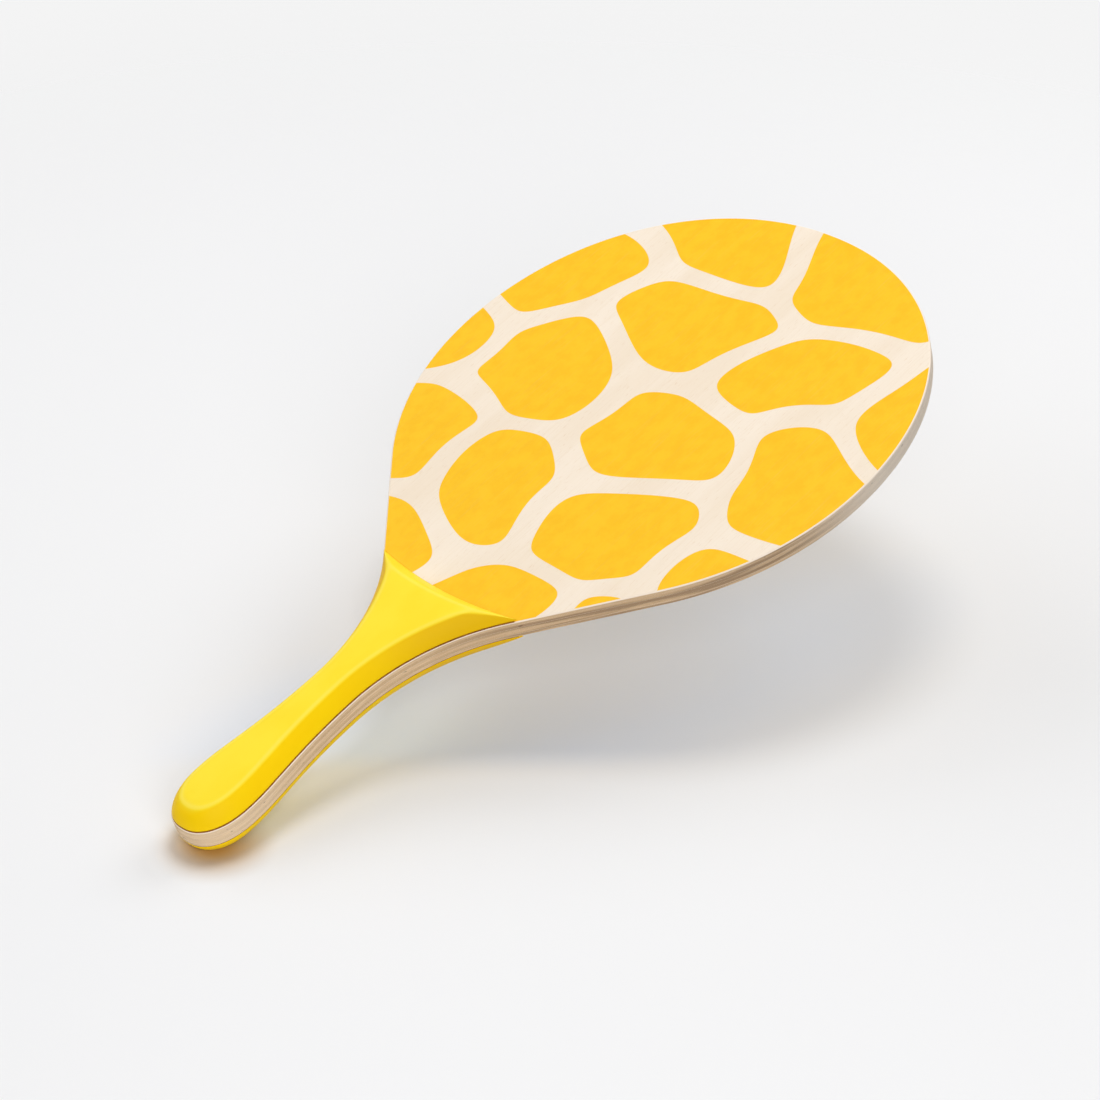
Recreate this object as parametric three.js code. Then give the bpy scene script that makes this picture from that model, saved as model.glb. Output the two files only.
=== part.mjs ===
// Frescobol racket: a five-ply birch paddle with a foam grip pad glued to each side of its handle.
// Millimetres. +Y runs from the butt to the tip, +X runs across the head and +Z is the front face's
// normal. The origin is the centre of the whole racket.

import * as THREE from 'three';

// Driving dimensions: the plywood outline
const RACKET_LENGTH = 450;
const HEAD_WIDTH = 248;
const HEAD_WIDEST_AT = 316; // from the butt
const WAIST_WIDTH = 26;
const WAIST_AT = 94; // from the butt
const BUTT_WIDTH = 36.5;
const BUTT_WIDEST_AT = 25.5; // from the butt

// Driving dimensions: the plywood's layers
const PLY_THICKNESS = 1.8;
const PLY_COUNT = 5;
const EDGE_RADIUS = 1.4; // the round sanded on the outer plies' edges

// Driving dimensions: the grip pads and the adhesive under them
const PAD_THICKNESS = 8.6;
const PAD_FLANK_INSET = 5; // how far the flanks lean in, at the sides
const PAD_FLANK_CREST_RADIUS = 4; // the round between flank and top face, at the sides
const PAD_BUTT_INSET = 3; // the same two at the butt, which is steeper and rounder
const PAD_BUTT_CREST_RADIUS = 7;
const PAD_FRONT_INSET = 7; // and at the end that faces the head
const PAD_FRONT_CREST_RADIUS = 4;
const PAD_EDGE_SETBACK = 0.2; // how far the pad's foot stays inside the wood
const PAD_FRONT_AT = 166.3; // middle of the pad's front end, from the butt
const PAD_FRONT_RADIUS = 200; // the shallow hollow of that end
const FILM_THICKNESS = 0.4;
const FILM_INSET = 1.6; // inside the wood's rounded edge

// Shape shares: fullness 2 is an ellipse; a flare is a share of the angle of the chord; a bend
// share is the first arc's share of both arcs' radii
const CROWN_FULLNESS_share = 2.06;
const BUTT_FULLNESS_share = 2.25;
const NECK_FLARE_share = 1.57;
const NECK_BEND_share = 0.43;
const HANDLE_FLARE_share = 1.67;
const HANDLE_BEND_share = 0.25;

// The radius of the pad's two corners towards the head, as a share of their distance from the middle
const PAD_TOP_CORNER_share = 0.34;
const PAD_FOOT_CORNER_share = 0.05;

// Steps along each stretch of the outline, and around each round
const BUTT_STEPS = 10;
const HANDLE_STEPS = 7;
const NECK_STEPS = 14;
const CROWN_STEPS = 30;
const EDGE_STEPS = 3;
const CREST_STEPS = 7;
const PAD_SIDE_STEPS = 44;
const PAD_FRONT_STEPS = 10;
const PAD_CORNER_STEPS = 6;
const FINE_FACTOR = 12; // how much finer the guide curve for the pads is

const WOOD_THICKNESS = PLY_COUNT * PLY_THICKNESS;
const MID_LENGTH = RACKET_LENGTH / 2;

const COLOURS = {
	faceVeneer: 0xf3e3c8,
	crossPly: 0xae9274,
	corePly: 0xc9ad88,
	film: 0x6b5320,
	grip: 0xffe53c
};

// A quarter of a superellipse about (0, centre), from its side to its end on the axis
function quarter( halfWidth, centre, reach, fullness, steps ) {

	const points = [];
	for ( let i = 0; i <= steps; i ++ ) {

		const turn = ( i / steps ) * Math.PI / 2;
		const x = i === steps ? 0 : halfWidth * Math.pow( Math.cos( turn ), 2 / fullness );
		const y = centre + reach * Math.pow( Math.sin( turn ), 2 / fullness );
		points.push( new THREE.Vector2( x, y ) );

	}

	return points;

}

// Two arcs joined by a straight, between two points where the outline runs along Y
function sweep( from, to, flareShare, bendShare, steps ) {

	const rise = to.y - from.y;
	const spread = Math.abs( to.x - from.x );
	const side = Math.sign( to.x - from.x );
	const flare = flareShare * Math.atan2( spread, rise );
	const radii = ( rise * Math.sin( flare ) - spread * Math.cos( flare ) ) / ( 1 - Math.cos( flare ) );
	const firstRadius = radii * bendShare;
	const lastRadius = radii - firstRadius;
	const points = [];

	for ( let i = 0; i <= steps; i ++ ) {

		const turn = flare * i / steps;
		const x = from.x + side * firstRadius * ( 1 - Math.cos( turn ) );
		points.push( new THREE.Vector2( x, from.y + firstRadius * Math.sin( turn ) ) );

	}

	for ( let i = steps; i >= 0; i -- ) {

		const turn = flare * i / steps;
		const x = to.x - side * lastRadius * ( 1 - Math.cos( turn ) );
		points.push( new THREE.Vector2( x, to.y - lastRadius * Math.sin( turn ) ) );

	}

	return points;

}

// The right half of the racket's outline, from the butt to the tip, with y from the butt
function halfOutline( fineness ) {

	const butt = new THREE.Vector2( BUTT_WIDTH / 2, BUTT_WIDEST_AT );
	const waist = new THREE.Vector2( WAIST_WIDTH / 2, WAIST_AT );
	const head = new THREE.Vector2( HEAD_WIDTH / 2, HEAD_WIDEST_AT );
	const crownReach = RACKET_LENGTH - HEAD_WIDEST_AT;

	const heel = quarter( butt.x, butt.y, - butt.y, BUTT_FULLNESS_share, BUTT_STEPS * fineness );
	const handle = sweep( butt, waist, HANDLE_FLARE_share, HANDLE_BEND_share, HANDLE_STEPS * fineness );
	const neck = sweep( waist, head, NECK_FLARE_share, NECK_BEND_share, NECK_STEPS * fineness );
	const crown = quarter( head.x, head.y, crownReach, CROWN_FULLNESS_share, CROWN_STEPS * fineness );

	return [ ...heel.reverse(), ...handle.slice( 1 ), ...neck.slice( 1 ), ...crown.slice( 1 ) ];

}

// Outward normals of a half outline that meets the Y axis squarely at the ends it has there
function outwardNormals( points ) {

	return points.map( ( point, i ) => {

		const mirrored = ( other ) => new THREE.Vector2( - other.x, other.y );
		const last = points.length - 1;
		const before = i === 0 ? mirrored( points[ 1 ] ) : points[ i - 1 ];
		const after = i === last ? mirrored( points[ last - 1 ] ) : points[ i + 1 ];
		const along = after.clone().sub( before ).normalize();
		return new THREE.Vector2( along.y, - along.x );

	} );

}

// The half outline moved in by an inset that may differ between the sides and the butt
function insetHalf( points, sideInset, buttInset = sideInset ) {

	const normals = outwardNormals( points );

	return points.map( ( point, i ) => {

		const facingButt = Math.max( 0, - normals[ i ].y );
		const inset = sideInset + ( buttInset - sideInset ) * facingButt * facingButt;
		return point.clone().addScaledVector( normals[ i ], - inset );

	} );

}

// A closed ring, counter-clockwise from above, from a half that starts and ends on the Y axis
function mirrorHalf( half ) {

	const left = half.slice( 1, - 1 ).reverse().map( ( p ) => new THREE.Vector2( - p.x, p.y ) );
	return [ ...half, ...left ];

}

// One closed body through rings of equal length, stacked along Z, with flat ends
function loft( levels ) {

	const count = levels[ 0 ].ring.length;
	const positions = [];
	const indices = [];

	for ( const { ring, z } of levels ) {

		for ( const point of ring ) positions.push( point.x, point.y - MID_LENGTH, z );

	}

	for ( let level = 0; level < levels.length - 1; level ++ ) {

		for ( let i = 0; i < count; i ++ ) {

			const next = ( i + 1 ) % count;
			const a = level * count + i;
			const b = level * count + next;
			indices.push( a, b, b + count, a, b + count, a + count );

		}

	}

	const top = ( levels.length - 1 ) * count;
	for ( const [ a, b, c ] of THREE.ShapeUtils.triangulateShape( levels[ 0 ].ring, [] ) ) {

		indices.push( a, c, b );

	}

	for ( const [ a, b, c ] of THREE.ShapeUtils.triangulateShape( levels.at( - 1 ).ring, [] ) ) {

		indices.push( top + a, top + b, top + c );

	}

	const geometry = new THREE.BufferGeometry();
	geometry.setAttribute( 'position', new THREE.Float32BufferAttribute( positions, 3 ) );
	geometry.setIndex( indices );
	geometry.computeVertexNormals();
	return geometry;

}

// An inner ply: the outline, straight through
function plainPly() {

	const ring = mirrorHalf( halfOutline( 1 ) );
	return loft( [ { ring, z: 0 }, { ring, z: PLY_THICKNESS } ] );

}

// An outer ply: its outer edge is sanded round
function roundedPly() {

	const half = halfOutline( 1 );
	const levels = [ { ring: mirrorHalf( half ), z: 0 } ];

	for ( let i = 0; i <= EDGE_STEPS; i ++ ) {

		const turn = ( i / EDGE_STEPS ) * Math.PI / 2;
		const inset = EDGE_RADIUS * ( 1 - Math.cos( turn ) );
		const z = PLY_THICKNESS - EDGE_RADIUS * ( 1 - Math.sin( turn ) );
		levels.push( { ring: mirrorHalf( insetHalf( half, inset ) ), z } );

	}

	return loft( levels );

}

// The front end of a pad, a shallow hollow arc that moves back by the setback
function frontLine( x, setback ) {

	const drop = Math.sqrt( PAD_FRONT_RADIUS * PAD_FRONT_RADIUS - x * x );
	return PAD_FRONT_AT - setback + PAD_FRONT_RADIUS - drop;

}

// Points at equal steps along a polyline
function spaced( points, steps ) {

	const lengths = [ 0 ];
	for ( let i = 1; i < points.length; i ++ ) {

		lengths.push( lengths[ i - 1 ] + points[ i ].distanceTo( points[ i - 1 ] ) );

	}

	const total = lengths.at( - 1 );
	const result = [];
	let at = 1;

	for ( let step = 0; step <= steps; step ++ ) {

		const wanted = total * step / steps;
		while ( at < points.length - 1 && lengths[ at ] < wanted ) at ++;
		const share = ( wanted - lengths[ at - 1 ] ) / ( lengths[ at ] - lengths[ at - 1 ] );
		result.push( points[ at - 1 ].clone().lerp( points[ at ], share ) );

	}

	return result;

}

// One ring of a pad or of its film: the handle's outline moved in, closed by the front line
function padRing( sideInset, buttInset, frontInset, cornerShare ) {

	const guide = insetHalf( halfOutline( FINE_FACTOR ), sideInset, buttInset );
	const past = guide.findIndex( ( p ) => p.y > frontLine( p.x, frontInset ) );
	const inner = guide[ past - 1 ];
	const outer = guide[ past ];
	const innerGap = frontLine( inner.x, frontInset ) - inner.y;
	const outerGap = outer.y - frontLine( outer.x, frontInset );
	const corner = inner.clone().lerp( outer, innerGap / ( innerGap + outerGap ) );
	const cornerRadius = corner.x * cornerShare;

	const side = guide.slice( 0, past ).filter( ( p ) => p.distanceTo( corner ) > cornerRadius );
	const cut = corner.clone().add( side.at( - 1 ).clone().sub( corner ).setLength( cornerRadius ) );
	const frontStart = corner.x - cornerRadius;
	const front = [];
	for ( let i = 0; i <= PAD_FRONT_STEPS; i ++ ) {

		const x = frontStart * ( 1 - i / PAD_FRONT_STEPS );
		front.push( new THREE.Vector2( x, frontLine( x, frontInset ) ) );

	}

	const round = new THREE.QuadraticBezierCurve( cut, corner, front[ 0 ] ).getPoints( PAD_CORNER_STEPS );
	const half = [ ...spaced( [ ...side, cut ], PAD_SIDE_STEPS ), ...round.slice( 1 ), ...front.slice( 1 ) ];
	return mirrorHalf( half );

}

// A pad's flank in section: a straight that leans in, then the round of the crest
function flank( crestInset, crestRadius ) {

	const lean = Math.atan2( crestInset, PAD_THICKNESS );
	const reach = crestRadius * Math.tan( ( Math.PI / 2 - lean ) / 2 );
	const centreInset = crestInset + reach;
	const centreHeight = PAD_THICKNESS - crestRadius;
	const roundFrom = centreHeight + crestRadius * Math.sin( lean );

	const insetAt = ( height ) => {

		if ( height <= roundFrom ) return height * Math.tan( lean );
		const rise = height - centreHeight;
		return centreInset - Math.sqrt( Math.max( 0, crestRadius * crestRadius - rise * rise ) );

	};

	return { roundFrom, insetAt };

}

// A grip pad: its foot meets the wood's outline, and its flanks lean in to a flat top face
function gripPad() {

	const side = flank( PAD_FLANK_INSET, PAD_FLANK_CREST_RADIUS );
	const butt = flank( PAD_BUTT_INSET, PAD_BUTT_CREST_RADIUS );
	const front = flank( PAD_FRONT_INSET, PAD_FRONT_CREST_RADIUS );
	const roundFrom = Math.min( side.roundFrom, butt.roundFrom, front.roundFrom );
	const heights = [ 0 ];

	for ( let i = 0; i <= CREST_STEPS; i ++ ) {

		const turn = ( i / CREST_STEPS ) * Math.PI / 2;
		heights.push( roundFrom + ( PAD_THICKNESS - roundFrom ) * Math.sin( turn ) );

	}

	return loft( heights.map( ( z ) => {

		const raised = z / PAD_THICKNESS;
		const cornerShare = THREE.MathUtils.lerp( PAD_FOOT_CORNER_share, PAD_TOP_CORNER_share, raised );
		const sideInset = PAD_EDGE_SETBACK + side.insetAt( z );
		const buttInset = PAD_EDGE_SETBACK + butt.insetAt( z );
		return { ring: padRing( sideInset, buttInset, front.insetAt( z ), cornerShare ), z };

	} ) );

}

// The adhesive film that holds a pad, cut a little inside it
function adhesiveFilm() {

	const ring = padRing( FILM_INSET, FILM_INSET, FILM_INSET, PAD_FOOT_CORNER_share );
	return loft( [ { ring, z: 0 }, { ring, z: FILM_THICKNESS } ] );

}

function piece( name, geometry, colour, roughness, z ) {

	const material = new THREE.MeshStandardMaterial( { color: colour, roughness, metalness: 0 } );
	const mesh = new THREE.Mesh( geometry, material );
	mesh.name = name;
	mesh.position.z = z;
	return mesh;

}

const WOOD_ROUGHNESS = 0.55;
const FILM_ROUGHNESS = 0.7;
const GRIP_ROUGHNESS = 0.6;

// What lies outside the cross plies on one side, from the face ply to the grip pad
function faceSide( side ) {

	const group = new THREE.Group();
	const faceFoot = WOOD_THICKNESS / 2 - PLY_THICKNESS;
	const woodTop = WOOD_THICKNESS / 2;
	const padFoot = woodTop + FILM_THICKNESS;

	group.add( piece( side + '_face_ply', roundedPly(), COLOURS.faceVeneer, WOOD_ROUGHNESS, faceFoot ) );
	group.add( piece( side + '_adhesive_film', adhesiveFilm(), COLOURS.film, FILM_ROUGHNESS, woodTop ) );
	group.add( piece( side + '_grip_pad', gripPad(), COLOURS.grip, GRIP_ROUGHNESS, padFoot ) );
	return group;

}

const racket = new THREE.Group();
const corePlyFoot = - PLY_THICKNESS / 2;
const backCrossFoot = corePlyFoot - PLY_THICKNESS;

racket.add( piece( 'core_ply', plainPly(), COLOURS.corePly, WOOD_ROUGHNESS, corePlyFoot ) );
racket.add( piece( 'front_cross_ply', plainPly(), COLOURS.crossPly, WOOD_ROUGHNESS, PLY_THICKNESS / 2 ) );
racket.add( piece( 'back_cross_ply', plainPly(), COLOURS.crossPly, WOOD_ROUGHNESS, backCrossFoot ) );

racket.add( faceSide( 'front' ) );

// The back is the front turned over about the length of the racket
const back = faceSide( 'back' );
back.rotation.y = Math.PI;
racket.add( back );

export default racket;
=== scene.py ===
"""The looks of the frescobol racket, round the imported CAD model. Metres, in the CAD model's frame.

+Y runs from the butt to the tip, +X across the head and +Z out of the front face. Outline sizes
are in millimetres from the butt, as a designer would dimension them, and turn into metres when a
mesh is made.
"""

import math

import bmesh
import bpy
from mathutils import Matrix, Vector


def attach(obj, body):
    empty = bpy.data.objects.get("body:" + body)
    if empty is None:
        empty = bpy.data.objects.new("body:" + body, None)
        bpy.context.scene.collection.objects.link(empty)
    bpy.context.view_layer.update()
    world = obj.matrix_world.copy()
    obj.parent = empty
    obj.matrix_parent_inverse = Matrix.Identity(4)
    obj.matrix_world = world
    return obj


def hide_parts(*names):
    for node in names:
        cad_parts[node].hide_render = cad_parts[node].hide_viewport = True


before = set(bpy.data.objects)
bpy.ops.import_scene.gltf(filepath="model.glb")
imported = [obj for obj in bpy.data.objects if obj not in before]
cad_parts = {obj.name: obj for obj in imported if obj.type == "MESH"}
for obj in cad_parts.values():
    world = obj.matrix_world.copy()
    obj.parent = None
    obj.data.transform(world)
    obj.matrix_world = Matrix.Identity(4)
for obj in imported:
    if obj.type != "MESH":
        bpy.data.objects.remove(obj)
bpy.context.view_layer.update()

MM = 0.001
WELD = 1e-6  # vertices that are this close, in metres, become one
QUARTER_TURN = math.pi / 2
WHITE = (1, 1, 1, 1)

# The racket's outline, as in the CAD model
RACKET_LENGTH = 450
HEAD_WIDTH = 248
HEAD_WIDEST_AT = 316
WAIST_WIDTH = 26
WAIST_AT = 94
BUTT_WIDTH = 36.5
BUTT_WIDEST_AT = 25.5
CROWN_FULLNESS = 2.06
BUTT_FULLNESS = 2.25
# A flare is how far a straight leans, over how far its chord leans, and a bend is the first arc's
# share of the two radii
NECK_FLARE = 1.57
NECK_BEND = 0.43
HANDLE_FLARE = 1.67
HANDLE_BEND = 0.25
# The steps of the outline's stretches, times the fineness that a mesh needs
HEEL_STEPS = 8
HANDLE_STEPS = 6
NECK_STEPS = 10
CROWN_STEPS = 20
PLY_FINENESS = 5
GUIDE_FINENESS = 60

# The plywood
PLY_THICKNESS = 1.8
WOOD_TOP = 4.5
EDGE_RADIUS = {"front": 1.0, "back": 0.5}
EDGE_STEPS = 8
GLUE_GROOVE = 0.03  # how deep the groove between two plies is
# Half the groove's section: in from the edge and away from the joint, as shares of its depth
GROOVE_SHARES = ((1, 0), (0.2, 0.8), (0, 1.6))
SOFT_PLY_RECESS = 0.03  # the sander takes more off the cross plies

# The grip pads
PAD_FOOT = 4.9
PAD_TOP = 13.5
PAD_THICKNESS = PAD_TOP - PAD_FOOT
# How far a flank leans in to its crease, how far it swells out of the straight, and how far the
# round of the crest reaches from the crease: at the sides, the butt and the end towards the head
PAD_SIDES = (6.0, 0.6, 1.4)
PAD_BUTT = (7.4, 1.2, 1.7)
PAD_FRONT = (7.4, 0.2, 1.8)
PAD_CREST_SPREAD = 2.0  # the round reaches this many times as far over the top as down the flank
PAD_SECTION_STEPS = 60
PAD_EDGE_SETBACK = {"front": 0.45, "back": 0.15}  # how far the foot is inside the wood's outline
PAD_FRONT_AT = 166.3
PAD_FRONT_RADIUS = 200
# The reach of a corner's round, as a share of how far the corner is from the middle
PAD_TOP_CORNER_SHARE = 0.34
PAD_FOOT_CORNER_SHARE = 0.03
PAD_CORNER_RISE = 2.2  # how late on the way up the corner turns round
PAD_FOOT_ROUND = 0.35  # how high the foot's round is, and how far it is tucked in
PAD_FOOT_SHARES = (0, 0.3)  # the heights of the foot's rings, as shares of its round
PAD_CROWN = 0.18  # the top face swells by this much from its crest to its middle
PAD_SPINE_INSET = 14  # the cap's folds meet this far inside its butt and its front end
PAD_FLANK_STEPS = 8
PAD_CREST_STEPS = 16
PAD_CROWN_STEPS = 8
PAD_SIDE_STEPS = 190
PAD_CORNER_STEPS = 16
PAD_FRONT_STEPS = 30

# The adhesive: inset from the wood's outline, and height, from the wood's face out over its
# rounded edge and up to the pad's foot
# The film is real; its bead lies in the seam under the pad's foot as a dark line where there is
# shade, which is painted shade
SHADE_BEAD_PROFILE = {
    "front": (
        (1.45, 4.5),
        (0.9, 4.49),
        (0.6, 4.41),
        (0.46, 4.34),
        (0.40, 4.33),
        (0.41, 4.46),
        (0.46, 4.66),
        (0.58, 4.9),
    ),
    "back": (
        (0.9, 4.5),
        (0.6, 4.5),
        (0.44, 4.49),
        (0.36, 4.47),
        (0.34, 4.52),
        (0.34, 4.7),
        (0.38, 4.9),
    ),
}
BEAD_FRONT_INSET = 1.2  # the film stays at least this far inside the pad's end towards the head

# The camera, at the photograph's angle
CAMERA_AT = Vector((0.888485, -0.638860, 0.988349))
CAMERA_RIGHT = Vector((0.71728843, 0.66559841, -0.20609721))
CAMERA_UP = Vector((-0.36244807, 0.60904138, 0.70547855))
CAMERA_BACK = Vector((0.59508713, -0.43133207, 0.67810320))
CAMERA_LENS = 104.465  # the lens and the sensor's width are in millimetres
CAMERA_SENSOR = 36


def make_camera():
    data = bpy.data.cameras.new("camera")
    data.sensor_width = CAMERA_SENSOR
    data.lens = CAMERA_LENS
    camera = bpy.data.objects.new("camera", data)
    turn = Matrix((CAMERA_RIGHT, CAMERA_UP, CAMERA_BACK)).transposed()
    camera.matrix_world = Matrix.Translation(CAMERA_AT) @ turn.to_4x4()
    bpy.context.scene.collection.objects.link(camera)
    bpy.context.scene.camera = camera


# Shader helpers


def paint(red, green, blue):
    """A colour given as 0 to 255 in sRGB, as the linear colour that a socket takes."""
    channels = [value / 255 for value in (red, green, blue)]
    linear = [c / 12.92 if c <= 0.04045 else ((c + 0.055) / 1.055) ** 2.4 for c in channels]
    return (*linear, 1)


class Shader:
    """The node tree of a material or world, with short names for the nodes that it needs."""

    def __init__(self, owner):
        self.owner = owner
        owner.use_nodes = True
        self.tree = owner.node_tree
        self.tree.nodes.clear()

    def node(self, kind, links=None, **settings):
        """A new node; each link is a socket to join to an input, or a value to set it to."""
        node = self.tree.nodes.new(kind)
        for name, value in settings.items():
            setattr(node, name, value)
        for key, value in (links or {}).items():
            if isinstance(value, bpy.types.NodeSocket):
                self.tree.links.new(value, node.inputs[key])
            else:
                node.inputs[key].default_value = value
        return node

    def maths(self, operation, a, b=0.0, c=0.0):
        return self.node("ShaderNodeMath", {0: a, 1: b, 2: c}, operation=operation).outputs[0]

    def vector(self, operation, a, b):
        return self.node("ShaderNodeVectorMath", {0: a, 1: b}, operation=operation).outputs

    def blend(self, share, a, b):
        """Colour a where the share is 0 and colour b where it is 1."""
        return self.node("ShaderNodeMix", {0: share, 6: a, 7: b}, data_type="RGBA").outputs[2]

    def mix(self, share, a, b):
        """Surface a where the share is 0 and surface b where it is 1."""
        return self.node("ShaderNodeMixShader", {0: share, 1: a, 2: b}).outputs[0]

    def smooth(self, value, low, high, to_low=0.0, to_high=1.0):
        links = {0: value, 1: low, 2: high, 3: to_low, 4: to_high}
        return self.node("ShaderNodeMapRange", links, interpolation_type="SMOOTHSTEP").outputs[0]

    def over(self, below, colour, value, span):
        """The colour below, with another laid over it as the value runs through the span."""
        return self.blend(self.smooth(value, *span), below, colour)

    def millimetres(self):
        """The place on the object in millimetres."""
        place = self.node("ShaderNodeTexCoord").outputs["Object"]
        return self.vector("MULTIPLY", place, (1 / MM, 1 / MM, 1 / MM))[0]

    def facing(self):
        """The X, Y and Z of the surface's normal."""
        return self.split(self.node("ShaderNodeNewGeometry").outputs["Normal"])

    def split(self, place):
        return self.node("ShaderNodeSeparateXYZ", {0: place}).outputs

    def distance(self, place, centre=(0, 0, 0)):
        return self.vector("DISTANCE", place, centre)["Value"]

    def in_oval(self, place, centre, turn, reach):
        """The place on an oval's own axes, on which its outline is 1 from its centre."""
        links = {"Vector": place, "Location": centre, "Rotation": turn, "Scale": reach}
        return self.node("ShaderNodeMapping", links, vector_type="TEXTURE").outputs[0]

    def noise(self, place, per_mm, detail, roughness):
        """Noise with its own number of features per millimetre along each axis."""
        stretched = self.vector("MULTIPLY", place, per_mm)[0]
        links = {"Vector": stretched, "Scale": 1.0, "Detail": detail, "Roughness": roughness}
        return self.node("ShaderNodeTexNoise", links).outputs["Fac"]

    def bump(self, height, distance, strength):
        links = {"Height": height, "Distance": distance, "Strength": strength}
        return self.node("ShaderNodeBump", links).outputs[0]

    def seen(self):
        """1 where the camera sees a surface, also in metal and through glass, 0 where it lights."""
        path = self.node("ShaderNodeLightPath").outputs
        shown = path["Is Camera Ray"]
        for ray in ("Is Glossy Ray", "Is Transmission Ray"):
            shown = self.maths("MAXIMUM", shown, path[ray])
        return shown

    def finish(self, surface, output="ShaderNodeOutputMaterial"):
        self.node(output, {"Surface": surface})
        return self.owner

    def principled(self, colour, roughness, normal, specular):
        links = {
            "Base Color": colour,
            "Roughness": roughness,
            "Normal": normal,
            "Specular IOR Level": specular,
        }
        return self.finish(self.node("ShaderNodeBsdfPrincipled", links).outputs[0])


# Materials

# A grain is a noise: its features per millimetre along each axis, its detail and its roughness.
# A span is where a change starts and ends, and what it runs from and to, 0 and 1 if not given.
# Spans along the racket are in millimetres from its middle. A bump is a height in metres and a
# strength.

# Birch: its edge
LONG_GRAIN = paint(238, 208, 170)
LONG_GRAIN_DARK = paint(214, 181, 142)
STREAK_GRAIN = ((0.10, 0.10, 4.2), 3.0, 0.55)
STREAK_SPAN = (0.38, 0.66)
END_GRAIN = paint(224, 192, 153)
END_GRAIN_DARK = paint(199, 166, 128)
PORE_GRAIN = ((2.6, 2.6, 2.6), 3.0, 0.7)
PORE_SPAN = (0.36, 0.66)
END_GRAIN_POWER = 1.6  # how soon end grain gives way as the edge turns along the grain
STAINED = paint(154, 126, 98)
STAIN_GRAIN = ((0.016, 0.016, 0.5), 2.0, 0.5)
STAIN_SPAN = (0.40, 0.60, 0.15, 0.85)
STAIN_FROM = (-110, -40)  # the edge's dark stain starts past the handle and fades before the tip
STAIN_TO = (110, 40, 0.0, 1.0)
FINE_GRAIN = ((0.45, 0.45, 14.0), 2.0, 0.6)
FINE_SPAN = (0.52, 0.80, 0.0, 0.30)
BUTT_EDGE_LIGHT = paint(236, 214, 184)  # painted light: the edge is paler round the butt, where more light falls on it; it is paler round the tip too
BUTT_EDGE_LIGHT_SPAN = (-205, -150, 0.4, 0.0)
TIP_EDGE = paint(250, 238, 222)
TIP_EDGE_SPAN = (40, 110, 0.0, 0.7)
EDGE_SPECK = paint(92, 68, 48)
SPECK_GRAIN = ((0.22, 0.22, 0.8), 1.0, 0.4)
SPECK_SPAN = (0.72, 0.80, 0.0, 0.6)
EDGE_RELIEF = 1.6

# Birch: its face
VENEER = paint(243, 229, 211)
VENEER_DARK = paint(233, 214, 188)
VENEER_FLECK = paint(214, 182, 142)
FIGURE_GRAIN = ((0.045, 0.007, 0.05), 3.0, 0.55)
FIGURE_SPAN = (0.36, 0.66, 0.0, 0.45)
LINE_GRAIN = ((1.3, 0.035, 1.3), 4.0, 0.6)
LINE_SPAN = (0.48, 0.72, 0.0, 0.40)
FLECK_GRAIN = ((2.4, 0.22, 2.4), 1.0, 0.4)
FLECK_SPAN = (0.66, 0.76, 0.0, 0.35)

# Birch: where the edge turns into the face, by how far the surface faces front or back
# A painted highlight: the rounded edge is paler where it turns into the face, as if light catches it
ROUND_HIGHLIGHT = paint(252, 236, 218)
ROUND_HIGHLIGHT_TILT = (0.25, 0.65)
FACE_TILT = (0.85, 0.99)
UPWARD_TILT = (0.25, 0.85)
BIRCH_ROUGHNESS = (0.0, 1.0, 0.78, 0.46)  # the roughness of the edge and of the face
LINE_ROUGHNESS = 0.12
BIRCH_BUMP = (0.00006, 0.8)
BIRCH_SPECULAR = 0.15

# The ink
PRINT = paint(250, 196, 24)
PRINT_DARK = paint(247, 188, 14)
MOTTLE_GRAIN = ((0.16, 0.11, 0.16), 4.0, 0.65)
MOTTLE_SPAN = (0.35, 0.68)
INK_LINE_SPAN = (0.5, 0.8, 0.0, 0.10)
INK_ROUGHNESS = -0.05  # what the ink adds to the roughness and to the relief
INK_RELIEF = 0.35
# The print fades from this far below the face to twice as far, where the edge starts to round
PRINT_BACK = 0.035

# The print's rounded stones: x, y, turn in degrees, half length and half width, in millimetres
STONES = [
    (-52, 196, 18, 46, 30),
    (38, 200, -24, 44, 31),
    (-98, 138, 74, 40, 30),
    (-22, 138, -8, 42, 33),
    (56, 132, 40, 42, 31),
    (116, 158, 80, 40, 28),
    (-64, 78, 32, 44, 33),
    (14, 70, -30, 44, 33),
    (92, 74, -66, 42, 31),
    (-128, 74, 80, 34, 24),
    (-92, 12, -38, 40, 31),
    (-24, 6, 62, 40, 32),
    (44, 10, 14, 42, 32),
    (108, 8, 70, 36, 26),
    (-50, -52, 8, 38, 28),
    (16, -56, -20, 38, 28),
    (76, -50, 50, 34, 26),
]
STONE_FALLOFF = 2.3
STONE_LIMIT = 0.825  # a stone's share of all the falloffs at its outline
STONE_EDGE = 0.004
# How far the stones' outlines sway, over how many millimetres to a radian, and from what angle
STONE_SWAY_X = (7, 17, 0.6)
STONE_SWAY_Y = (6, 21, 1.9)

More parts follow.
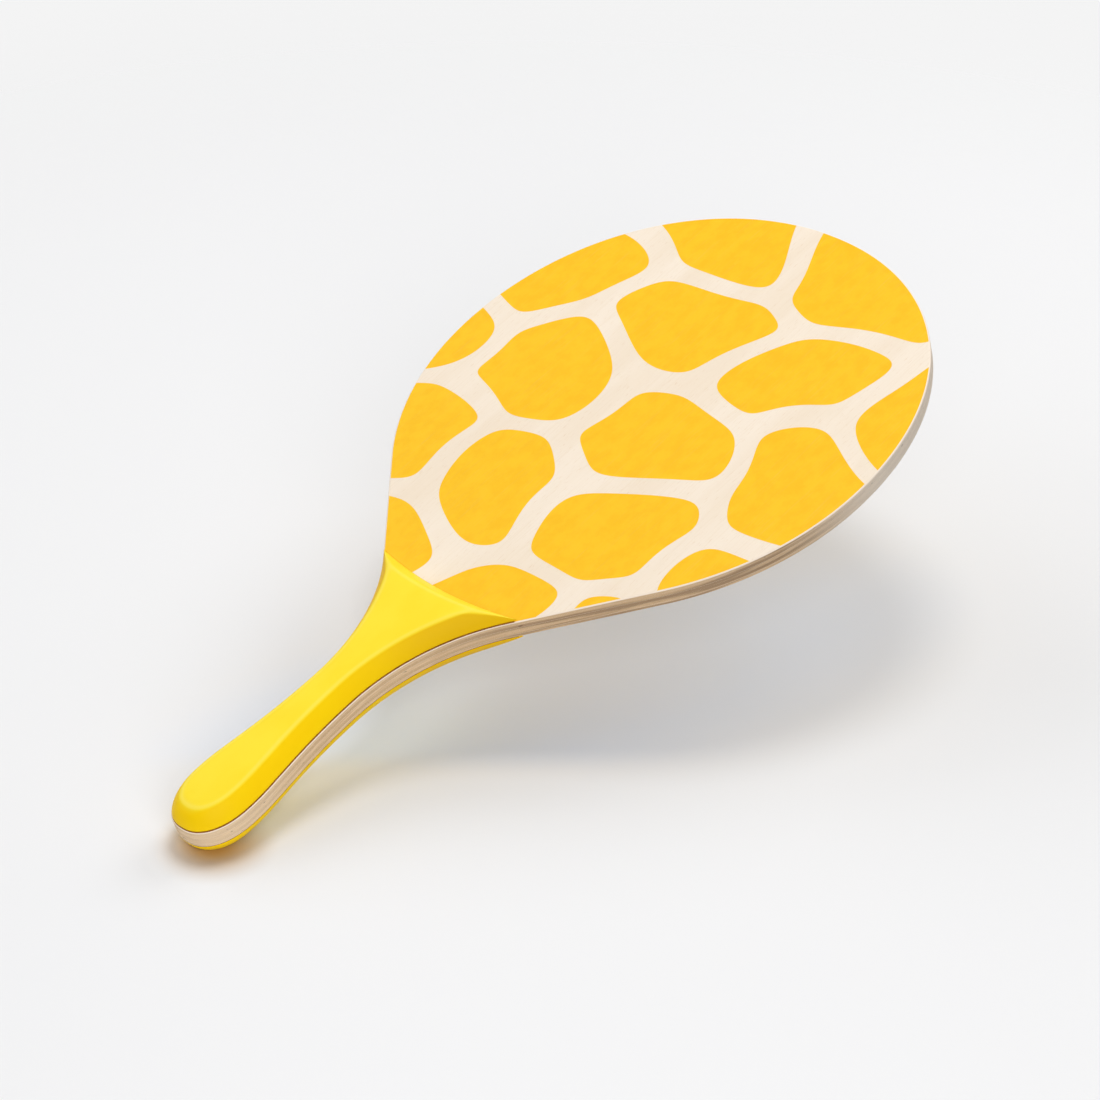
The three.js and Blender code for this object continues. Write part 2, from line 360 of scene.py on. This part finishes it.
# The foam, by how far its surface faces front or back: painted light, with the top face lighter and
# the flanks darker as light falls on them
GRIP_LIT_TOP = paint(254, 227, 52)
GRIP_SHADE = paint(252, 223, 44)
GRIP_FLANK = paint(255, 213, 0)
GRIP_FLANK_SHADE = paint(254, 209, 0)
CLOUD_GRAIN = ((0.05, 0.03, 0.08), 3.0, 0.55)
CLOUD_SPAN = (0.36, 0.66)
GRIP_FLARE_SHADE = paint(234, 182, 0)  # painted shade: the flanks are darker where the pad flares to the head
GRIP_FLARE_SHADE_SPAN = (-125, -70, 0.0, 0.7)
GRIP_TILT = (0.72, 0.96)  # from where to where a flank turns into the top face
GRIP_FORWARD = 0.4  # the slope towards the head counts this much more as top face, so it takes the painted lighter colour too
GRIP_CREST_HIGHLIGHT = paint(255, 243, 130)  # a painted highlight along the crest
CREST_HIGHLIGHT_SHARE = 0.22
CREST_TILT_FROM = (0.88, 0.975)
CREST_TILT_TO = (0.98, 1.0, 1.0, 0.0)
CELL_GRAIN = ((1.9, 1.9, 1.9), 3.0, 0.6)
CELL_SPAN = (0.58, 0.80, 0.0, 0.35)
SKIN_GRAIN = ((6.0, 6.0, 6.0), 2.0, 0.5)
SKIN_RELIEF = 0.35
FOAM_ROUGHNESS = (0.3, 0.7, 0.44, 0.56)
FOAM_BUMP = (0.00009, 0.55)
FOAM_SPECULAR = 0.1

# The adhesive film; its bead is a dark line in the seam's shade, partly painted shade
FILM = paint(164, 106, 28)
FILM_DARK = paint(126, 76, 16)
BLOTCH_GRAIN = ((0.5, 0.5, 2.0), 3.0, 0.6)
BLOTCH_SPAN = (0.35, 0.65)
FILM_ROUGHNESS = (0.3, 0.7, 0.45, 0.75)
FILM_BUMP = (0.0001, 0.5)
FILM_SPECULAR = 0.1


def swayed(shader, along, across, sway, length, start):
    """A place on one axis, moved by a wave that runs along the other."""
    angle = shader.maths("MULTIPLY_ADD", across, 1 / length, start)
    return shader.maths("MULTIPLY_ADD", shader.maths("SINE", angle), sway, along)


def stone_print(shader, place):
    """1 inside the print's stones and 0 between them."""
    x, y, z = shader.split(place)
    links = {0: swayed(shader, x, y, *STONE_SWAY_X), 1: swayed(shader, y, x, *STONE_SWAY_Y)}
    flat = shader.node("ShaderNodeCombineXYZ", links).outputs[0]

    weights = []
    for stone_x, stone_y, turn, length, width in STONES:
        angle = (0, 0, math.radians(turn))
        local = shader.in_oval(flat, (stone_x, stone_y, 0), angle, (length, width, 1))
        square = shader.vector("DOT_PRODUCT", local, local)["Value"]
        fall = shader.maths("MULTIPLY", square, -STONE_FALLOFF)
        weights.append(shader.maths("EXPONENT", fall))
    total = weights[0]
    largest = weights[0]
    for weight in weights[1:]:
        total = shader.maths("ADD", total, weight)
        largest = shader.maths("MAXIMUM", largest, weight)

    share = shader.maths("DIVIDE", largest, total)
    stones = shader.smooth(share, STONE_LIMIT - STONE_EDGE, STONE_LIMIT + STONE_EDGE)
    height = shader.maths("ABSOLUTE", z)
    on_face = shader.smooth(height, WOOD_TOP - 2 * PRINT_BACK, WOOD_TOP - PRINT_BACK)
    return shader.maths("MULTIPLY", stones, on_face)


def birch_edge(shader, place, along_grain):
    """The edge's colour and relief: streaks along it, and darker pores where the grain ends."""
    length = shader.split(place)[1]
    streaks = shader.noise(place, *STREAK_GRAIN)
    pores = shader.noise(place, *PORE_GRAIN)
    ends = shader.maths("POWER", shader.maths("ABSOLUTE", along_grain), END_GRAIN_POWER)
    long_side = shader.over(LONG_GRAIN, LONG_GRAIN_DARK, streaks, STREAK_SPAN)
    end_side = shader.over(END_GRAIN, END_GRAIN_DARK, pores, PORE_SPAN)
    edge = shader.blend(ends, long_side, end_side)
    stain = shader.smooth(shader.noise(place, *STAIN_GRAIN), *STAIN_SPAN)
    for span in (STAIN_FROM, STAIN_TO):
        stain = shader.maths("MULTIPLY", stain, shader.smooth(length, *span))
    edge = shader.blend(stain, edge, STAINED)
    edge = shader.over(edge, END_GRAIN_DARK, shader.noise(place, *FINE_GRAIN), FINE_SPAN)
    # Painted light: the edge is paler round the butt
    edge = shader.over(edge, BUTT_EDGE_LIGHT, length, BUTT_EDGE_LIGHT_SPAN)
    edge = shader.over(edge, TIP_EDGE, length, TIP_EDGE_SPAN)
    edge = shader.over(edge, EDGE_SPECK, shader.noise(place, *SPECK_GRAIN), SPECK_SPAN)
    relief = shader.maths("MULTIPLY", shader.maths("ADD", streaks, pores), EDGE_RELIEF)
    return edge, relief


def birch_face(shader, place, lines):
    """The face's colour: broad figure, fine grain lines and short flecks, all along the racket."""
    face = shader.over(VENEER, VENEER_DARK, shader.noise(place, *FIGURE_GRAIN), FIGURE_SPAN)
    face = shader.over(face, VENEER_DARK, lines, LINE_SPAN)
    return shader.over(face, VENEER_FLECK, shader.noise(place, *FLECK_GRAIN), FLECK_SPAN)


def birch(name, grain_along_y, printed=False):
    """Birch veneer: its face is pale with fine grain, its edge shows long grain and end grain."""
    shader = Shader(bpy.data.materials.new(name))
    place = shader.millimetres()
    facing = shader.facing()
    lines = shader.noise(place, *LINE_GRAIN)
    edge, edge_relief = birch_edge(shader, place, facing[1] if grain_along_y else facing[0])
    tilt = shader.maths("ABSOLUTE", facing[2])
    # Painted highlight on the rounded edge where it turns into the face
    colour = shader.over(edge, ROUND_HIGHLIGHT, tilt, ROUND_HIGHLIGHT_TILT)
    colour = shader.over(colour, birch_face(shader, place, lines), tilt, FACE_TILT)

    upward = shader.smooth(tilt, *UPWARD_TILT)
    face_relief = shader.maths("MULTIPLY", lines, upward)
    edge_relief = shader.maths("MULTIPLY", edge_relief, shader.maths("SUBTRACT", 1.0, upward))
    relief = shader.maths("ADD", face_relief, edge_relief)
    rough = shader.smooth(upward, *BIRCH_ROUGHNESS)
    rough = shader.maths("MULTIPLY_ADD", lines, LINE_ROUGHNESS, rough)

    if printed:
        ink = stone_print(shader, place)
        inked = shader.over(PRINT, PRINT_DARK, shader.noise(place, *MOTTLE_GRAIN), MOTTLE_SPAN)
        inked = shader.over(inked, VENEER_FLECK, lines, INK_LINE_SPAN)
        colour = shader.blend(ink, colour, inked)
        rough = shader.maths("MULTIPLY_ADD", ink, INK_ROUGHNESS, rough)
        relief = shader.maths("MULTIPLY_ADD", ink, INK_RELIEF, relief)

    return shader.principled(colour, rough, shader.bump(relief, *BIRCH_BUMP), BIRCH_SPECULAR)


def grip_foam():
    """Moulded closed-cell foam with a fine matt skin."""
    shader = Shader(bpy.data.materials.new("grip_foam"))
    place = shader.millimetres()
    cells = shader.noise(place, *CELL_GRAIN)
    clouded = shader.smooth(shader.noise(place, *CLOUD_GRAIN), *CLOUD_SPAN)
    # Painted light: the top face gets a lighter colour than the flanks, as light falls on it from
    # above
    lit_top = shader.blend(clouded, GRIP_LIT_TOP, GRIP_SHADE)
    shaded_flank = shader.blend(clouded, GRIP_FLANK, GRIP_FLANK_SHADE)
    # Painted shade on the flanks where the pad flares to the head
    shaded_flank = shader.over(shaded_flank, GRIP_FLARE_SHADE, shader.split(place)[1], GRIP_FLARE_SHADE_SPAN)

    facing = shader.facing()
    tilt = shader.maths("ABSOLUTE", facing[2])
    forward = shader.maths("MAXIMUM", facing[1], 0.0)
    upward = shader.maths("MULTIPLY_ADD", forward, GRIP_FORWARD, tilt)
    colour = shader.over(shaded_flank, lit_top, upward, GRIP_TILT)
    # A painted highlight along the crest's round
    crest = shader.smooth(tilt, *CREST_TILT_FROM)
    crest = shader.maths("MULTIPLY", crest, shader.smooth(tilt, *CREST_TILT_TO))
    colour = shader.blend(shader.maths("MULTIPLY", crest, CREST_HIGHLIGHT_SHARE), colour, GRIP_CREST_HIGHLIGHT)
    colour = shader.over(colour, GRIP_FLANK_SHADE, cells, CELL_SPAN)

    rough = shader.smooth(cells, *FOAM_ROUGHNESS)
    skin = shader.maths("MULTIPLY_ADD", shader.noise(place, *SKIN_GRAIN), SKIN_RELIEF, cells)
    return shader.principled(colour, rough, shader.bump(skin, *FOAM_BUMP), FOAM_SPECULAR)


def adhesive():
    """The adhesive film's brown edge, a dark line in the seam: partly painted shade."""
    shader = Shader(bpy.data.materials.new("adhesive"))
    blotch = shader.noise(shader.millimetres(), *BLOTCH_GRAIN)
    colour = shader.over(FILM, FILM_DARK, blotch, BLOTCH_SPAN)
    rough = shader.smooth(blotch, *FILM_ROUGHNESS)
    return shader.principled(colour, rough, shader.bump(blotch, *FILM_BUMP), FILM_SPECULAR)


# The outline


def quarter(half_width, centre, reach, fullness, steps):
    """A quarter of a superellipse, from its widest place to the middle line."""
    points = []
    for i in range(steps + 1):
        turn = i / steps * QUARTER_TURN
        x = 0 if i == steps else half_width * math.cos(turn) ** (2 / fullness)
        points.append(Vector((x, centre + reach * math.sin(turn) ** (2 / fullness))))
    return points


def sweep(start, end, flare_share, bend_share, steps):
    """Two arcs joined by a straight, which run along the racket at the start and the end."""
    rise = end.y - start.y
    spread = abs(end.x - start.x)
    side = math.copysign(1, end.x - start.x)
    flare = flare_share * math.atan2(spread, rise)
    radii = (rise * math.sin(flare) - spread * math.cos(flare)) / (1 - math.cos(flare))
    first = radii * bend_share
    last = radii - first
    points = []
    for i in range(steps + 1):
        turn = flare * i / steps
        points.append(start + Vector((side * first * (1 - math.cos(turn)), first * math.sin(turn))))
    for i in range(steps, -1, -1):
        turn = flare * i / steps
        points.append(end - Vector((side * last * (1 - math.cos(turn)), last * math.sin(turn))))
    return points


def half_outline(fineness):
    """The right half of the outline, from the butt to the tip, in millimetres from the butt."""
    butt = Vector((BUTT_WIDTH / 2, BUTT_WIDEST_AT))
    waist = Vector((WAIST_WIDTH / 2, WAIST_AT))
    head = Vector((HEAD_WIDTH / 2, HEAD_WIDEST_AT))
    crown_reach = RACKET_LENGTH - head.y
    heel = quarter(butt.x, butt.y, -butt.y, BUTT_FULLNESS, HEEL_STEPS * fineness)
    handle = sweep(butt, waist, HANDLE_FLARE, HANDLE_BEND, HANDLE_STEPS * fineness)
    neck = sweep(waist, head, NECK_FLARE, NECK_BEND, NECK_STEPS * fineness)
    crown = quarter(head.x, head.y, crown_reach, CROWN_FULLNESS, CROWN_STEPS * fineness)
    return heel[::-1] + handle[1:] + neck[1:] + crown[1:]


def normals_of(points):
    """The outward normals of a half outline, which goes on mirrored past both its ends."""
    found = []
    last = len(points) - 1
    for i in range(len(points)):
        before = Vector((-points[1].x, points[1].y)) if i == 0 else points[i - 1]
        after = Vector((-points[-2].x, points[-2].y)) if i == last else points[i + 1]
        along = (after - before).normalized()
        found.append(Vector((along.y, -along.x)))
    return found


def inset_half(points, normals, side, butt):
    """The half outline moved in, by an inset that may differ between the sides and the butt."""
    moved = []
    for point, normal in zip(points, normals):
        facing_butt = max(0, -normal.y) ** 2
        moved.append(point - normal * (side + (butt - side) * facing_butt))
    return moved


def mirror(half):
    """The whole ring of a half whose two ends lie on the middle line."""
    return half + [Vector((-p.x, p.y)) for p in half[-2:0:-1]]


PLY_OUTLINE = half_outline(PLY_FINENESS)
PLY_NORMALS = normals_of(PLY_OUTLINE)
GUIDE = half_outline(GUIDE_FINENESS)
GUIDE_NORMALS = normals_of(GUIDE)


# Meshes


def loft(name, levels, material, replaced, flipped=False, open_top=False):
    """One closed body through rings stacked along Z; flipped turns it over to the back.

    With open_top the last ring is folded flat, so its two sides are sewn together.
    """
    count = len(levels[0][0])
    vertices = []
    faces = []
    for ring, z in levels:
        for point in ring:
            x, y = point.x * MM, (point.y - RACKET_LENGTH / 2) * MM
            vertices.append((-x, y, -z * MM) if flipped else (x, y, z * MM))
    for level in range(len(levels) - 1):
        for i in range(count):
            a, b = level * count + i, level * count + (i + 1) % count
            faces.append((a, b, b + count, a + count))
    walls = len(faces)
    top = (len(levels) - 1) * count
    faces.append(tuple(range(count))[::-1])
    if not open_top:
        faces.append(tuple(range(top, top + count)))

    mesh = bpy.data.meshes.new(name)
    mesh.from_pydata(vertices, [], faces)
    mesh.polygons.foreach_set("use_smooth", [i < walls for i in range(len(faces))])
    mesh.materials.append(material)
    if open_top:
        work = bmesh.new()
        work.from_mesh(mesh)
        bmesh.ops.remove_doubles(work, verts=work.verts, dist=WELD)
        work.to_mesh(mesh)
        work.free()
    mesh.validate()
    mesh.update()
    piece = bpy.data.objects.new(name, mesh)
    bpy.context.scene.collection.objects.link(piece)
    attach(piece, "root")
    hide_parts(replaced)
    return piece


def ply_levels(foot, profile):
    levels = []
    for inset, z in profile:
        levels.append((mirror(inset_half(PLY_OUTLINE, PLY_NORMALS, inset, inset)), foot + z))
    return levels


def groove(recess):
    """The foot of a ply's edge, from the groove out to the recess: insets and heights."""
    return [(recess + GLUE_GROOVE * inset, GLUE_GROOVE * rise) for inset, rise in GROOVE_SHARES]


def inner_ply(name, foot, recess, material, replaced):
    lower = groove(recess)
    upper = [(inset, PLY_THICKNESS - z) for inset, z in lower[::-1]]
    return loft(name, ply_levels(foot, lower + upper), material, replaced)


def face_ply(side, material, flipped):
    radius = EDGE_RADIUS[side]
    profile = groove(0)
    for i in range(EDGE_STEPS + 1):
        turn = i / EDGE_STEPS * QUARTER_TURN
        z = PLY_THICKNESS - radius * (1 - math.sin(turn))
        profile.append((radius * (1 - math.cos(turn)), z))
    levels = ply_levels(WOOD_TOP - PLY_THICKNESS, profile)
    return loft(side + "_face_layer", levels, material, side + "_face_ply", flipped)


def front_line(x, setback):
    """Where the pad's hollow end towards the head lies, at a distance from the middle line."""
    return PAD_FRONT_AT - setback + PAD_FRONT_RADIUS - math.sqrt(PAD_FRONT_RADIUS**2 - x * x)


def spaced(points, steps):
    """Points at equal steps along a polyline."""
    lengths = [0]
    for before, after in zip(points, points[1:]):
        lengths.append(lengths[-1] + (after - before).length)
    result = []
    at = 1
    for step in range(steps + 1):
        wanted = lengths[-1] * step / steps
        while at < len(points) - 1 and lengths[at] < wanted:
            at += 1
        share = (wanted - lengths[at - 1]) / (lengths[at] - lengths[at - 1])
        result.append(points[at - 1].lerp(points[at], share))
    return result


def curve(start, bend, end, steps):
    """A quadratic curve from the start to the end, drawn towards the bend."""
    shares = [i / steps for i in range(steps + 1)]
    return [start * (1 - t) ** 2 + bend * (2 * t * (1 - t)) + end * t * t for t in shares]


def pad_ring(side_inset, butt_inset, front_inset, corner_share):
    """One ring of a pad: the handle's outline moved in, closed by the hollow front line."""
    guide = inset_half(GUIDE, GUIDE_NORMALS, side_inset, butt_inset)
    past = next(i for i, p in enumerate(guide) if p.y > front_line(p.x, front_inset))
    inner, outer = guide[past - 1], guide[past]
    inner_gap = front_line(inner.x, front_inset) - inner.y
    outer_gap = outer.y - front_line(outer.x, front_inset)
    corner = inner.lerp(outer, inner_gap / (inner_gap + outer_gap))
    radius = corner.x * corner_share
    side = [p for p in guide[:past] if (p - corner).length > radius]
    cut = corner + (side[-1] - corner).normalized() * radius
    front = []
    for i in range(PAD_FRONT_STEPS + 1):
        x = (corner.x - radius) * (1 - i / PAD_FRONT_STEPS)
        front.append(Vector((x, front_line(x, front_inset))))
    turned = curve(cut, corner, front[0], PAD_CORNER_STEPS)
    return mirror(spaced(side + [cut], PAD_SIDE_STEPS) + turned[1:] + front[1:])


def flank(lean, swell, reach):
    """A flank's section: a swelling curve, then the round of its crest.

    Gives the height at which the round starts, and how far in the flank is at any height.
    """
    foot, crease = Vector((0, 0)), Vector((lean, PAD_THICKNESS))
    across = Vector((-crease.y, crease.x)).normalized()
    bend = crease / 2 + across * (2 * swell)  # a curve swells half as far as its bend lies out
    rise = curve(foot, bend, crease, PAD_SECTION_STEPS)
    rise = [point for point in rise if (crease - point).length > reach]
    inner = crease + Vector((reach * PAD_CREST_SPREAD, 0))
    crest = curve(rise[-1], crease, inner, PAD_SECTION_STEPS)
    section = rise + crest[1:]

    def inset_at(height):
        for before, after in zip(section, section[1:]):
            if height <= after.y:
                share = (height - before.y) / (after.y - before.y)
                return before.x + (after.x - before.x) * share
        return section[-1].x

    return rise[-1].y, inset_at


def pad_heights(round_from):
    """The heights of a pad's rings: the foot, the flank and, from round_from up, the crest."""
    heights = [PAD_FOOT_ROUND * share for share in PAD_FOOT_SHARES]
    for i in range(PAD_FLANK_STEPS):
        heights.append(PAD_FOOT_ROUND + (round_from - PAD_FOOT_ROUND) * i / PAD_FLANK_STEPS)
    for i in range(PAD_CREST_STEPS + 1):
        rise = math.sin(i / PAD_CREST_STEPS * QUARTER_TURN)
        heights.append(round_from + (PAD_THICKNESS - round_from) * rise)
    return heights


def cap_levels(ring, z):
    """Rings that fold the top face in to its spine, and swell as they go."""
    low = min(point.y for point in ring) + PAD_SPINE_INSET
    high = ring[len(ring) // 2].y - PAD_SPINE_INSET
    levels = []
    for i in range(1, PAD_CROWN_STEPS + 1):
        share = i / PAD_CROWN_STEPS
        folded = []
        for point in ring:
            spine = Vector((0, min(max(point.y, low), high)))
            folded.append(point.lerp(spine, share))
        levels.append((folded, z + PAD_CROWN * math.sin(share * QUARTER_TURN)))
    return levels


def grip_pad(which, material, flipped):
    side_from, side = flank(*PAD_SIDES)
    butt_from, butt = flank(*PAD_BUTT)
    front_from, front = flank(*PAD_FRONT)
    levels = []
    for height in pad_heights(min(side_from, butt_from, front_from)):
        tuck = PAD_FOOT_ROUND * max(0, 1 - height / PAD_FOOT_ROUND) ** 2
        risen = (height / PAD_THICKNESS) ** PAD_CORNER_RISE
        opened = (PAD_TOP_CORNER_SHARE - PAD_FOOT_CORNER_SHARE) * risen
        setback = PAD_EDGE_SETBACK[which] + tuck
        sides, ends = setback + side(height), setback + butt(height)
        ring = pad_ring(sides, ends, tuck + front(height), PAD_FOOT_CORNER_SHARE + opened)
        drop = PAD_CROWN * height / PAD_THICKNESS
        levels.append((ring, PAD_FOOT + height - drop))
    levels += cap_levels(*levels[-1])
    name, replaced = which + "_pad_foam", which + "_grip_pad"
    pad = loft(name, levels, material, replaced, flipped, open_top=True)
    return pad


def film_and_shade_bead(side, material, flipped):
    """The film is real; its bead in the wedge over the wood's rounded edge is a dark strip that
    stands in for the shade under the pad's foot.
    """
    levels = []
    for inset, z in SHADE_BEAD_PROFILE[side]:
        front = max(inset, BEAD_FRONT_INSET)
        levels.append((pad_ring(inset, inset, front, PAD_FOOT_CORNER_SHARE), z))
    name, replaced = side + "_film_shade_bead", side + "_adhesive_film"
    return loft(name, levels, material, replaced, flipped)


def make_racket():
    core_wood = birch("birch_core", grain_along_y=True)
    cross_wood = birch("birch_cross", grain_along_y=False)
    face_wood = birch("birch_printed", grain_along_y=True, printed=True)
    foam = grip_foam()
    film = adhesive()

    core_foot = -PLY_THICKNESS / 2
    inner_ply("core_layer", core_foot, 0, core_wood, "core_ply")
    for side, foot in (("front", -core_foot), ("back", core_foot - PLY_THICKNESS)):
        name, replaced = side + "_cross_layer", side + "_cross_ply"
        inner_ply(name, foot, SOFT_PLY_RECESS, cross_wood, replaced)
    for side, flipped in (("front", False), ("back", True)):
        face_ply(side, face_wood, flipped)
        grip_pad(side, foam, flipped)
        film_and_shade_bead(side, film, flipped)


# Floor, backdrop and light

FLOOR_UP = Vector((0, 0.2960, 0.9552))
FLOOR_RIGHT = CAMERA_RIGHT
FLOOR_AWAY = FLOOR_UP.cross(FLOOR_RIGHT)
FLOOR_TOUCHES = Vector((0, -0.2215, -0.0105))  # the lowest point of the back pad's round butt
FLOOR_RADIUS = 0.95
FLOOR_STEPS = 96
# The places on the floor are right and away from its middle, in millimetres
FLOOR_FADE = (500, 920)  # from where to where the floor fades into the backdrop
FLOOR_PALE = paint(239, 239, 240)
PAPER_GRAIN = ((0.4, 0.4, 0.4), 3.0, 0.6)
PAPER_BUMP = (0.0001, 0.3)
# In the racket's shadow the floor is cooler, against the warm light that the racket's back throws
# on it: an oval, from where to where it fades all round, and from where to where at its front
FLOOR_COOL = paint(229, 238, 254)
COOL_CENTRE = (15, -27, 0)
COOL_TURN = (0, 0, math.radians(26.6))
COOL_REACH = (170, 70, 1)
COOL_FADE = (0.6, 1.4, 1.0, 0.0)
COOL_FRONT = (-98, -74)
CONTACT_SHADOW = paint(186, 148, 92)  # a painted contact shadow under the butt, amber where the yellow foam colours what light gets in
CONTACT_SHADOW_FADE = (2, 30)
CONTACT_SHADOW_SHIFT = 8  # and this far to the camera's right of where the butt touches
BACKDROP = paint(244, 244, 244)
BACKDROP_GLOW = (60, 260, 0.0, 0.20)  # the backdrop's share in the floor, by distance from the butt
# What the floor throws back on the racket from near the butt and from far, and where that changes
FLOOR_BOUNCE_NEAR = paint(235, 235, 235)
FLOOR_BOUNCE_FAR = paint(160, 168, 180)
BOUNCE_FADE = (200, 380)
WORLD_STRENGTH = 0.24
# Each lamp: right, away and up from the racket on the floor's axes, across, and watts
LAMPS = {
    "key": ((0.10, 0.40, 1.50), 0.6, 8.1),
    "back_left": ((-1.0, 1.0, 1.1), 1.2, 5.9),
    "back_right": ((1.0, 1.0, 1.0), 1.0, 8.8),
    "left": ((-1.3, 0.0, 0.9), 1.0, 3.1),
    "front": ((0.2, -1.3, 0.7), 1.0, 10.6),
}


def studio_floor():
    """Pale paper with a painted contact shadow under the butt and a cooler tint in the racket's
    shadow, which fades into the backdrop.
    """
    shader = Shader(bpy.data.materials.new("studio_floor"))
    place = shader.millimetres()
    seen = shader.seen()
    butt = (FLOOR_TOUCHES.dot(FLOOR_RIGHT) / MM, FLOOR_TOUCHES.dot(FLOOR_AWAY) / MM, 0)
    away = shader.distance(place, butt)
    bounce = shader.over(FLOOR_BOUNCE_NEAR, FLOOR_BOUNCE_FAR, away, BOUNCE_FADE)

    outward = shader.distance(shader.in_oval(place, COOL_CENTRE, COOL_TURN, COOL_REACH))
    front = shader.smooth(shader.split(place)[1], *COOL_FRONT)
    cool = shader.maths("MULTIPLY", shader.smooth(outward, *COOL_FADE), front)
    pale = shader.blend(cool, FLOOR_PALE, FLOOR_COOL)
    # A painted contact shadow under the butt
    near = shader.distance(place, (butt[0] + CONTACT_SHADOW_SHIFT, butt[1], 0))
    with_contact_shadow = shader.over(CONTACT_SHADOW, pale, near, CONTACT_SHADOW_FADE)
    colour = shader.blend(seen, bounce, with_contact_shadow)

    bump = shader.bump(shader.noise(place, *PAPER_GRAIN), *PAPER_BUMP)
    matt = shader.node("ShaderNodeBsdfDiffuse", {"Color": colour, "Normal": bump}).outputs[0]
    glow = shader.node("ShaderNodeEmission", {"Color": BACKDROP, "Strength": 1.0}).outputs[0]
    share = shader.maths("MULTIPLY", seen, shader.smooth(away, *BACKDROP_GLOW))
    paper = shader.mix(share, matt, glow)

    fade = shader.smooth(shader.distance(place), *FLOOR_FADE)
    behind = shader.node("ShaderNodeNewGeometry").outputs["Backfacing"]
    gone = shader.node("ShaderNodeBsdfTransparent").outputs[0]
    return shader.finish(shader.mix(shader.maths("MAXIMUM", fade, behind), paper, gone))


def make_floor():
    mesh = bpy.data.meshes.new("floor")
    rim = [2 * math.pi * i / FLOOR_STEPS for i in range(FLOOR_STEPS)]
    vertices = [(FLOOR_RADIUS * math.cos(a), FLOOR_RADIUS * math.sin(a), 0) for a in rim]
    mesh.from_pydata(vertices, [], [tuple(range(FLOOR_STEPS))])
    mesh.materials.append(studio_floor())
    floor = bpy.data.objects.new("floor", mesh)
    height = FLOOR_TOUCHES.dot(FLOOR_UP)
    turn = Matrix((FLOOR_RIGHT, FLOOR_AWAY, FLOOR_UP)).transposed()
    floor.matrix_world = Matrix.Translation(FLOOR_UP * height) @ turn.to_4x4()
    bpy.context.scene.collection.objects.link(floor)


def make_world():
    world = bpy.data.worlds.new("studio")
    bpy.context.scene.world = world
    shader = Shader(world)
    links = {"Color": WHITE, "Strength": WORLD_STRENGTH}
    light = shader.node("ShaderNodeBackground", links).outputs[0]
    links = {"Color": BACKDROP, "Strength": 1.0}
    backdrop = shader.node("ShaderNodeBackground", links).outputs[0]
    shader.finish(shader.mix(shader.seen(), light, backdrop), "ShaderNodeOutputWorld")


def make_lamps():
    for name, ((right, away, up), size, watts) in LAMPS.items():
        data = bpy.data.lights.new(name, "AREA")
        data.shape = "DISK"
        data.size = size
        data.energy = watts
        lamp = bpy.data.objects.new(name, data)
        lamp.location = FLOOR_RIGHT * right + FLOOR_AWAY * away + FLOOR_UP * up
        lamp.rotation_mode = "QUATERNION"
        lamp.rotation_quaternion = (-lamp.location).to_track_quat("-Z", "Y")
        bpy.context.scene.collection.objects.link(lamp)


make_camera()
make_racket()
make_floor()
make_world()
make_lamps()
bpy.context.scene.view_settings.view_transform = "Standard"
